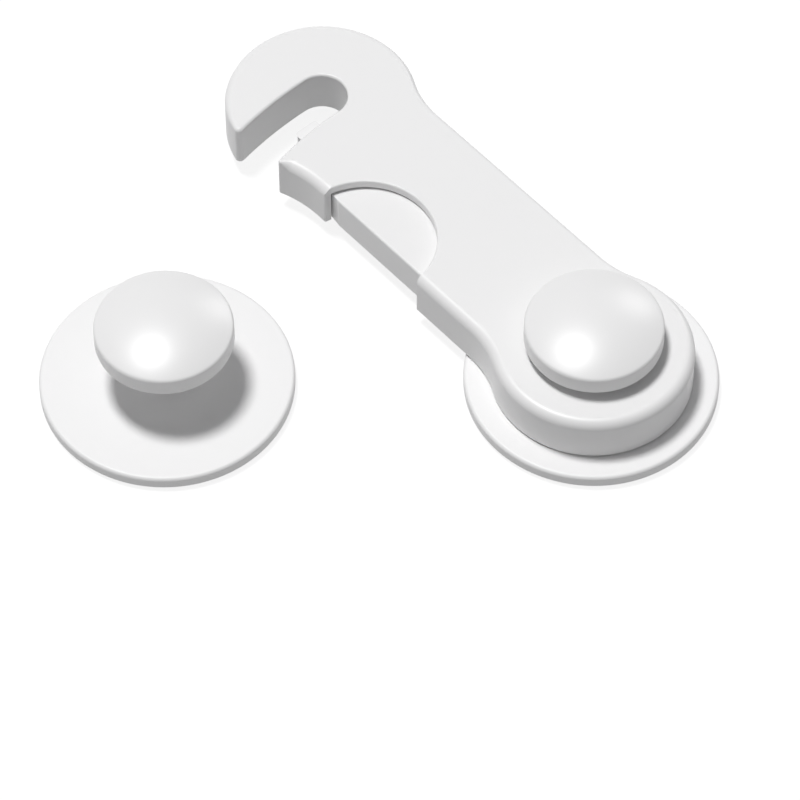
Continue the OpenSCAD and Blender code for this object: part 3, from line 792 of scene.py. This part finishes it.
def button(centre):
    """Domed button with a rounded brow, a socket for the post and a groove under its rim."""
    dome_h = dome_z - button_z0 - button_rim_h
    dome_r = (button_r ** 2 + dome_h ** 2) / (2 * dome_h)
    dome_c = dome_z - dome_r
    edge_x = button_r - button_edge_r
    edge_y = dome_c + sqrt((dome_r - button_edge_r) ** 2 - edge_x ** 2)
    groove_z1 = button_z0 + groove_depth
    under = rounded([
        (0, screw_seat_z1), (screw_seat_r, screw_seat_z1), (screw_seat_r, socket_z1),
        (post_r + run_gap, socket_z1), (post_r + run_gap, button_z0, soft_edge),
        (groove_r0, button_z0, soft_edge), (groove_r0, groove_z1, fine_edge),
        (groove_r1, groove_z1, fine_edge), (groove_r1, button_z0, soft_edge),
        (button_r, button_z0, fine_edge), (button_r, edge_y)])
    brow_a = atan2(edge_y - dome_c, edge_x)
    brow_steps = 8
    brow = [at((edge_x, edge_y), button_edge_r, degrees(brow_a) * k / brow_steps)
            for k in range(1, brow_steps + 1)]
    dome_steps = 40
    dome = [at((0, dome_c), dome_r, degrees(brow_a + (pi / 2 - brow_a) * k / dome_steps))
            for k in range(1, dome_steps)]
    return smooth(lathe("button", under + brow + dome + [(0, dome_z)], centre))


def pad(centre):
    """Round foam pad under a base."""
    profile = rounded([(0, 0), (pad_r, 0, soft_edge), (pad_r, pad_t, soft_edge), (0, pad_t)])
    return smooth(lathe("pad", profile, centre))


# The swing arm

def band(margin, z0, z1):
    """A solid that fills the hook's slot, wider than it by a margin."""
    mouth_a = slot_a + slot_sweep_a
    arcs = [
        (pivot_c, slot_out_r + margin, slot_a, mouth_a, 0, 0),
        (pivot_c, slot_in_r - margin, mouth_a, slot_a, 0, 0),
        (slot_c, slot_hw + margin, slot_a - 180, slot_a, 0, 0),
    ]
    points = [row[0] for row in trace(arcs)]
    return slab("band", [(p, (0, 0), 0) for p in reversed(points)], z0, z1)


def hollow(margin, z0, z1):
    """A solid that fills the inside of the arm up to a margin from its outline."""
    reach = 2 * pivot_head_r
    near = block(-reach, reach, -reach, 0, z0 - over, z1 + over)
    near.data.transform(Matrix.Rotation(radians(head_split_a), 4, "Z"))
    body = combine(drum(pivot_c, pivot_head_r - margin, z0, z1, HEAD_SIDES), "INTERSECT", near)
    hook = combine(drum(hook_c, hook_head_r - margin, z0, z1, HEAD_SIDES), "INTERSECT",
                   drum(trim_c, trim_r - margin, z0, z1, HEAD_SIDES))
    add(body, drum(head_far_c, head_far_r - margin, z0, z1, HEAD_SIDES), hook,
        block(hook_c[X], 0, -arm_half_w + margin, arm_far_w - margin, z0, z1))
    return cut(body, band(margin, z0 - over, z1 + over),
               drum(scoop_c, scoop_r + margin, z0 - over, z1 + over, HEAD_SIDES),
               drum(pivot_c, sleeve_r + margin - wall, z0 - over, z1 + over))


def arm_cover():
    """Housing of the arm: walls and skin, the sleeve round the post, and the seats of what it carries."""
    grip = skin / 4
    shell = slab("arm_cover_shell", trace(arm_arcs()), arm_z0, arm_z1, low_edge=soft_edge)
    cut(shell, hollow(wall, arm_z0 - over, skin_z0),
        flared("window", trace(window_arcs()), arm_z0 - over, arm_z1))
    add(shell, *[drum(c, pillar_r, plate_z1, skin_z0 + grip, BOSS_SIDES) for c in pillars])
    add(shell, drum(lever_pin_c, eye_r, lever_z1 + seat_gap, skin_z0 + grip, BOSS_SIDES),
        block(spring_x - rib_w / 2, spring_x + rib_w / 2, rib_y, rib_y + wall, plate_z1, skin_z0 + grip),
        cross_drum(spring_x, rib_y - stub_l, rib_y + wall / 2, spring_z, stub_r))
    cut(shell, drum(pivot_c, post_r + run_gap, arm_z0 - over, arm_z1 + over))
    cut(shell, *[drum(c, pillar_hole_r, plate_z1 - over, arm_screw_z1 + seat_gap, BORE_SIDES)
                 for c in pillars])
    cut(shell, drum(lever_pin_c, pin_r + press_gap, lever_z1, pin_z1, BORE_SIDES),
        block(-slot_in_r - over, -slot_in_r + 2 * wall, tooth_y0 - 2 * lever_gap, tooth_y1 + lever_gap,
              tooth_z0 - lever_gap, tooth_z1 + lever_gap))
    return smooth(opened(shell))


def back_plate():
    """Plate that closes the arm from below, with an opening that the lever's skirt hangs in."""
    plate = hollow(wall + fit_gap, arm_z0, plate_z1)
    cut(plate, block(skirt_x0 - heel_end_r, lever_right + lever_gap,
                     -arm_half_w, -arm_half_w + wall + lever_well_w, arm_z0 - over, plate_z1 + over))
    soften(plate, soft_edge)
    cone_h = arm_head_r - arm_screw_r
    sink_z0 = arm_z0 - over / 2
    sink = [(0, sink_z0), (arm_head_r + press_gap, sink_z0), (arm_head_r + press_gap, arm_z0),
            (arm_screw_r + fit_gap, arm_z0 + cone_h), (arm_screw_r + fit_gap, plate_z1 + over),
            (0, plate_z1 + over)]
    cut(plate, *[lathe("sink", sink, c, BOSS_SIDES) for c in pillars])
    cut(plate, drum(lever_pin_c, pin_r + press_gap, pin_z0, plate_z1 + over, BORE_SIDES))
    return smooth(opened(plate))


def lever():
    """Thumb lever: hollow body, web with an eye for the pin, tooth, skirt and the spring's stub."""
    web_right = lever_left + lever_web_w
    pin_x, pin_y = lever_pin_c
    plan = rounded([
        (lever_left, lever_front, lever_tip_r), (lever_right, lever_front, lever_front_r),
        (lever_right, lever_back, lever_corner_r), (web_right, lever_back, lever_web_r),
        (web_right, pin_y, lever_nook_r), (pin_x + eye_r, pin_y),
        (pin_x + eye_r, pin_y + eye_r, eye_r), (pin_x - eye_r, pin_y + eye_r, eye_r),
        (pin_x - eye_r, pin_y - eye_r, lever_root_r), (lever_left, pin_y - eye_r, lever_tip_r)])
    piece = slab("lever", with_normals(plan, lever_edge_r), lever_z0, lever_z1, low_edge=soft_edge)
    x0, x1 = web_right + pocket_wall, lever_right - pocket_wall
    y0, y1 = lever_front + pocket_wall, lever_back - pocket_wall
    pocket = rounded([(x, y, pocket_corner_r) for x, y in ((x0, y0), (x1, y0), (x1, y1), (x0, y1))])
    cut(piece, slab("pocket", with_normals(pocket, 0), lever_z0 - over, lever_z0 + pocket_depth))
    tooth_plan = rounded([
        (lever_left + wall, tooth_y0), (lever_left + wall, tooth_y1), (tooth_tip, tooth_y1, tooth_nose / 2),
        (tooth_tip, tooth_y0, tooth_nose)][::-1])
    add(piece, slab("tooth", with_normals(tooth_plan, tooth_edge_r), tooth_z0, tooth_z1, edge_steps=4),
        cross_drum(spring_x, lever_back - stub_l, lever_back + stub_l, spring_z, stub_r),
        block(skirt_x0, skirt_x1, lever_front, lever_front + skirt_t, skirt_z0, lever_z0 + skirt_t))
    cut(piece, drum(scoop_c, scoop_r + wall + lever_gap, skirt_z0 - over, lever_z1 + over, HEAD_SIDES),
        drum(lever_pin_c, pin_r + run_gap, lever_z0 - over, lever_z1 + over, BOSS_SIDES))
    return smooth(opened(piece))


def lever_pin():
    """Steel pin with both ends chamfered."""
    return smooth(opened(lathe("pin", [
        (0, pin_z0), (pin_r - pin_chamfer, pin_z0), (pin_r, pin_z0 + pin_chamfer),
        (pin_r, pin_z1 - pin_chamfer), (pin_r - pin_chamfer, pin_z1), (0, pin_z1)], lever_pin_c, BOSS_SIDES)))


# Screws and spring, made by geometry nodes

def geometry_group(name, inputs):
    """An empty geometry tree with named inputs (name, kind, value)."""
    group = bpy.data.node_groups.new(name, "GeometryNodeTree")
    group.interface.new_socket("Geometry", in_out="OUTPUT", socket_type="NodeSocketGeometry")
    for label, kind, value in inputs:
        socket = group.interface.new_socket(label, in_out="INPUT", socket_type=kind)
        if value is not None:
            socket.default_value = value
    return group, group.nodes.new("NodeGroupInput"), group.nodes.new("NodeGroupOutput")


def add_coil(group, given, steps, profile_sides):
    """Nodes that sweep a round wire along a spiral; they read the group's own sizes."""
    nodes, links = group.nodes, group.links
    spiral = nodes.new("GeometryNodeCurveSpiral")
    spiral.inputs["Resolution"].default_value = steps
    links.new(given.outputs["Turns"], spiral.inputs["Rotations"])
    links.new(given.outputs["Coil radius"], spiral.inputs["Start Radius"])
    links.new(given.outputs["Coil radius"], spiral.inputs["End Radius"])
    links.new(given.outputs["Length"], spiral.inputs["Height"])
    ring = nodes.new("GeometryNodeCurvePrimitiveCircle")
    ring.inputs["Resolution"].default_value = profile_sides
    links.new(given.outputs["Wire radius"], ring.inputs["Radius"])
    sweep = nodes.new("GeometryNodeCurveToMesh")
    sweep.inputs["Fill Caps"].default_value = True
    links.new(spiral.outputs["Curve"], sweep.inputs["Curve"])
    links.new(ring.outputs["Curve"], sweep.inputs["Profile Curve"])
    return sweep.outputs["Mesh"]


def end_tree(group, out, mesh, material):
    """Ends a geometry tree: instances are made real and the material is set."""
    nodes, links = group.nodes, group.links
    real = nodes.new("GeometryNodeRealizeInstances")
    paint = nodes.new("GeometryNodeSetMaterial")
    links.new(mesh, real.inputs["Geometry"])
    links.new(real.outputs["Geometry"], paint.inputs["Geometry"])
    links.new(material, paint.inputs["Material"])
    links.new(paint.outputs["Geometry"], out.inputs["Geometry"])


COIL_SIZES = [("Turns", "NodeSocketFloat", 6.0), ("Coil radius", "NodeSocketFloat", 0.002),
              ("Length", "NodeSocketFloat", 0.006), ("Wire radius", "NodeSocketFloat", 0.0003),
              ("Material", "NodeSocketMaterial", None)]


def make_spring_tree():
    """A coil by itself."""
    group, given, out = geometry_group("coil_spring", [("Geometry", "NodeSocketGeometry", None)] + COIL_SIZES)
    coil = add_coil(group, given, steps=28, profile_sides=12)
    end_tree(group, out, coil, given.outputs["Material"])
    return group


def make_screw_tree():
    """Puts a screw, its blank joined with a raised thread, on every point that it is given."""
    group, given, out = geometry_group("threaded_screws", [
        ("Geometry", "NodeSocketGeometry", None), ("Blank", "NodeSocketObject", None),
        ("Thread start", "NodeSocketVector", (0, 0, 0))] + COIL_SIZES)
    nodes, links = group.nodes, group.links
    blank = nodes.new("GeometryNodeObjectInfo")
    links.new(given.outputs["Blank"], blank.inputs["Object"])
    lift = nodes.new("GeometryNodeTransform")
    links.new(add_coil(group, given, steps=24, profile_sides=4), lift.inputs["Geometry"])
    links.new(given.outputs["Thread start"], lift.inputs["Translation"])
    both = nodes.new("GeometryNodeJoinGeometry")
    links.new(lift.outputs["Geometry"], both.inputs["Geometry"])
    links.new(blank.outputs["Geometry"], both.inputs["Geometry"])
    points = nodes.new("GeometryNodeMeshToPoints")
    links.new(given.outputs["Geometry"], points.inputs["Mesh"])
    spread = nodes.new("GeometryNodeInstanceOnPoints")
    links.new(points.outputs["Points"], spread.inputs["Points"])
    links.new(both.outputs["Geometry"], spread.inputs["Instance"])
    end_tree(group, out, spread.outputs["Instances"], given.outputs["Material"])
    return group


def grown(obj, tree, values):
    """Runs a geometry tree on an object with the given named inputs and keeps the resulting mesh."""
    step = obj.modifiers.new("grow", "NODES")
    step.node_group = tree
    sockets = {item.name: item.identifier for item in tree.interface.items_tree if item.in_out == "INPUT"}
    for label, value in values.items():
        step[sockets[label]] = value
    obj.update_tag()
    return baked(obj)


def screw_blank(head, shank_r, shank_z1):
    """Head with a cross recess on a plain core; the head's outer face lies at height zero."""
    point_h = shank_r
    core = shank_r * core_share
    head_r = max(r for r, _ in head)
    point = [(core, shank_z1 - point_h), (core * point_share, shank_z1), (0, shank_z1)]
    piece = lathe("blank", [(0, 0)] + head + point, (0, 0), BORE_SIDES)
    narrow = head_r * 0.3
    wide = head_r * 1.15
    depth = head_r * 0.34
    for w, h in ((narrow, wide), (wide, narrow)):
        cut(piece, block(-w / 2, w / 2, -h / 2, h / 2, -over, depth))
    return piece


def screws(name, blank, places, z, thread):
    """Screws at several places, with a thread of (radius, first height, last height, pitch)."""
    r, t0, t1, pitch = thread
    depth = r * thread_share
    bm = bmesh.new()
    for c in places:
        bm.verts.new((c[X], c[Y], z))
    holder = new_object(name, bm)
    grown(holder, SCREW_TREE, {
        "Blank": blank, "Thread start": (0, 0, t0 * MM), "Turns": (t1 - t0) / pitch,
        "Coil radius": (r - depth) * MM, "Length": (t1 - t0) * MM, "Wire radius": depth * MM,
        "Material": ZINC})
    bpy.data.objects.remove(blank)
    return smooth(holder)


def post_screw(centre):
    """Screw that comes up through a base's post into the button."""
    head_h = pit_z1 - post_head_z0
    core = post_screw_r * core_share
    head = rounded([(0, 0), (post_head_r, 0, post_head_edge_r), (post_head_r, head_h, post_head_rim_r),
                    (core, head_h)])[1:-1]
    length = post_screw_z1 - post_head_z0
    blank = screw_blank(head + [(core, head_h)], post_screw_r, length)
    plain_h, tip_h = 3, 2
    thread = (post_screw_r, head_h + plain_h, length - tip_h, post_screw_pitch)
    return screws("post_screw", blank, [centre], post_head_z0, thread)


def arm_screws():
    """The four countersunk screws of the back plate, as one piece."""
    cone_h = arm_head_r - arm_screw_r
    core = arm_screw_r * core_share
    length = arm_screw_z1 - arm_z0
    head = [(arm_head_r - arm_head_rim_in, 0), (arm_head_r, arm_head_rim_h), (core, cone_h + arm_head_neck_h)]
    blank = screw_blank(head, arm_screw_r, length)
    plain_h, tip_h = 0.5, 1
    thread = (arm_screw_r, cone_h + plain_h, length - tip_h, arm_screw_pitch)
    return opened(screws("arm_screw_set", blank, pillars, arm_z0, thread))


def spring():
    """Coil spring between the lever's back and its rib, as it lies at rest."""
    end_gap = 0.05
    length = rib_y - lever_back - 2 * end_gap - 2 * spring_wire_r
    holder = new_object("spring", bmesh.new())
    grown(holder, make_spring_tree(), {
        "Turns": float(spring_turns), "Coil radius": spring_coil_r * MM, "Length": length * MM,
        "Wire radius": spring_wire_r * MM, "Material": STEEL})
    start = (spring_x * MM, (lever_back + end_gap + spring_wire_r) * MM, spring_z * MM)
    holder.data.transform(Matrix.Translation(start) @ Matrix.Rotation(-pi / 2, 4, "X"))
    return smooth(opened(holder))


def squeeze(obj):
    """Gives the spring a mesh of its own."""
    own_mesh(obj)


SCREW_TREE = make_screw_tree()

for side, centre in (("catch", catch_c), ("pivot", pivot_c)):
    place(base(centre), side + "_base_disc", HALVES, BASE_WHITE, side + "_base")
    place(button(centre), side + "_domed_button", HALVES, BUTTON_WHITE, side + "_button")
    place(pad(centre), side + "_foam_pad", HALVES, FOAM, side + "_pad")
    place(post_screw(centre), side + "_post_screw", HALVES, None, side + "_screw")
place(arm_cover(), "arm_cover_shell", ARM, ARM_WHITE, "arm_cover")
place(back_plate(), "arm_closing_plate", ARM, PLATE_WHITE, "arm_back_plate")
place(arm_screws(), "arm_screw_set", ARM, None, "arm_screws")
place(lever(), "thumb_lever", LEVER, LEVER_WHITE, "release_lever")
place(lever_pin(), "lever_steel_pin", ARM, STEEL, "lever_pin")
squeeze(place(spring(), "lever_coil_spring", ARM, None, "lever_spring"))


# Floor, light and camera

def shown_ray(nodes, links):
    """1 for rays that show the background: seen straight, in a reflection or through glass."""
    path = nodes.new("ShaderNodeLightPath")
    shown = maths(nodes, links, "MAXIMUM", path.outputs["Is Camera Ray"], path.outputs["Is Glossy Ray"])
    return maths(nodes, links, "MAXIMUM", shown, path.outputs["Is Transmission Ray"])


def pale_floor():
    """A floor that looks white where it is lit and keeps the object's shadow."""
    half_width_m = 6
    below_pads = 0.02
    glow = 0.86
    real_grey = 0.57
    shadowed_grey = 0.2
    bm = bmesh.new()
    bmesh.ops.create_grid(bm, x_segments=1, y_segments=1, size=half_width_m / MM,
                          matrix=Matrix.Translation((0, 0, -below_pads)))
    floor = new_object("floor", bm)
    material = bpy.data.materials.new("floor_white")
    material.use_nodes = True
    nodes, links = material.node_tree.nodes, material.node_tree.links
    nodes.clear()
    real = nodes.new("ShaderNodeBsdfDiffuse")
    real.inputs["Color"].default_value = (real_grey, real_grey, real_grey, 1)
    shadowed = nodes.new("ShaderNodeBsdfDiffuse")
    shadowed.inputs["Color"].default_value = (shadowed_grey, shadowed_grey, shadowed_grey, 1)
    white = nodes.new("ShaderNodeEmission")
    white.inputs["Strength"].default_value = glow
    both = nodes.new("ShaderNodeAddShader")
    links.new(shadowed.outputs[0], both.inputs[0])
    links.new(white.outputs[0], both.inputs[1])
    pick = nodes.new("ShaderNodeMixShader")
    links.new(shown_ray(nodes, links), pick.inputs[0])
    links.new(real.outputs[0], pick.inputs[1])
    links.new(both.outputs[0], pick.inputs[2])
    out = nodes.new("ShaderNodeOutputMaterial")
    links.new(pick.outputs[0], out.inputs["Surface"])
    floor.data.materials.append(material)


def white_world():
    """A soft grey sky that the camera sees as white."""
    sky_colour, sky_strength = (0.985, 0.985, 1, 1), 0.215
    world = bpy.data.worlds.new("studio")
    bpy.context.scene.world = world
    world.use_nodes = True
    nodes, links = world.node_tree.nodes, world.node_tree.links
    nodes.clear()
    sky = nodes.new("ShaderNodeBackground")
    sky.inputs["Color"].default_value = sky_colour
    sky.inputs["Strength"].default_value = sky_strength
    seen = nodes.new("ShaderNodeBackground")
    pick = nodes.new("ShaderNodeMixShader")
    links.new(shown_ray(nodes, links), pick.inputs[0])
    links.new(sky.outputs[0], pick.inputs[1])
    links.new(seen.outputs[0], pick.inputs[2])
    out = nodes.new("ShaderNodeOutputWorld")
    links.new(pick.outputs[0], out.inputs["Surface"])


def lamp(name, towards, distance, size, power):
    """A round lamp that shines from a direction on the place halfway between the posts; metres and watts."""
    light = bpy.data.lights.new(name, "AREA")
    light.shape = "DISK"
    light.size = size
    light.energy = power
    obj = bpy.data.objects.new(name, light)
    bpy.context.scene.collection.objects.link(obj)
    aim = Vector((-spacing / 2 * MM, 0, 0))
    back = Vector(towards).normalized()
    obj.location = aim + back * distance
    obj.rotation_euler = back.to_track_quat("Z", "Y").to_euler()
    return obj


def set_camera():
    """The photograph's view of the open lock: angles in degrees, lengths in millimetres."""
    azimuth, elevation, roll = -0.42, 54.06, 0.16
    target = Vector((-33.63, -3.41, 0)) * MM
    distance = 759.4 * MM
    focal_px, frame_px = 4322.7, 800
    camera = bpy.data.cameras.new("camera")
    camera.lens = camera.sensor_width * focal_px / frame_px
    obj = bpy.data.objects.new("camera", camera)
    bpy.context.scene.collection.objects.link(obj)
    az, el = radians(azimuth), radians(elevation)
    back = Vector((sin(az) * cos(el), -cos(az) * cos(el), sin(el)))
    obj.location = target + back * distance
    level = back.to_track_quat("Z", "Y").to_matrix()
    obj.rotation_euler = (level @ Matrix.Rotation(radians(roll), 3, "Z")).to_euler()
    bpy.context.scene.camera = obj


pale_floor()
white_world()
lamp("key_lamp", (-0.197, 0.135, 1), distance=2.85, size=0.6, power=60)
lamp("rim_lamp", (0.44, 0.74, 0.5), distance=1.5, size=0.5, power=3.0).visible_diffuse = False
set_camera()
bpy.context.scene.view_settings.view_transform = "Standard"
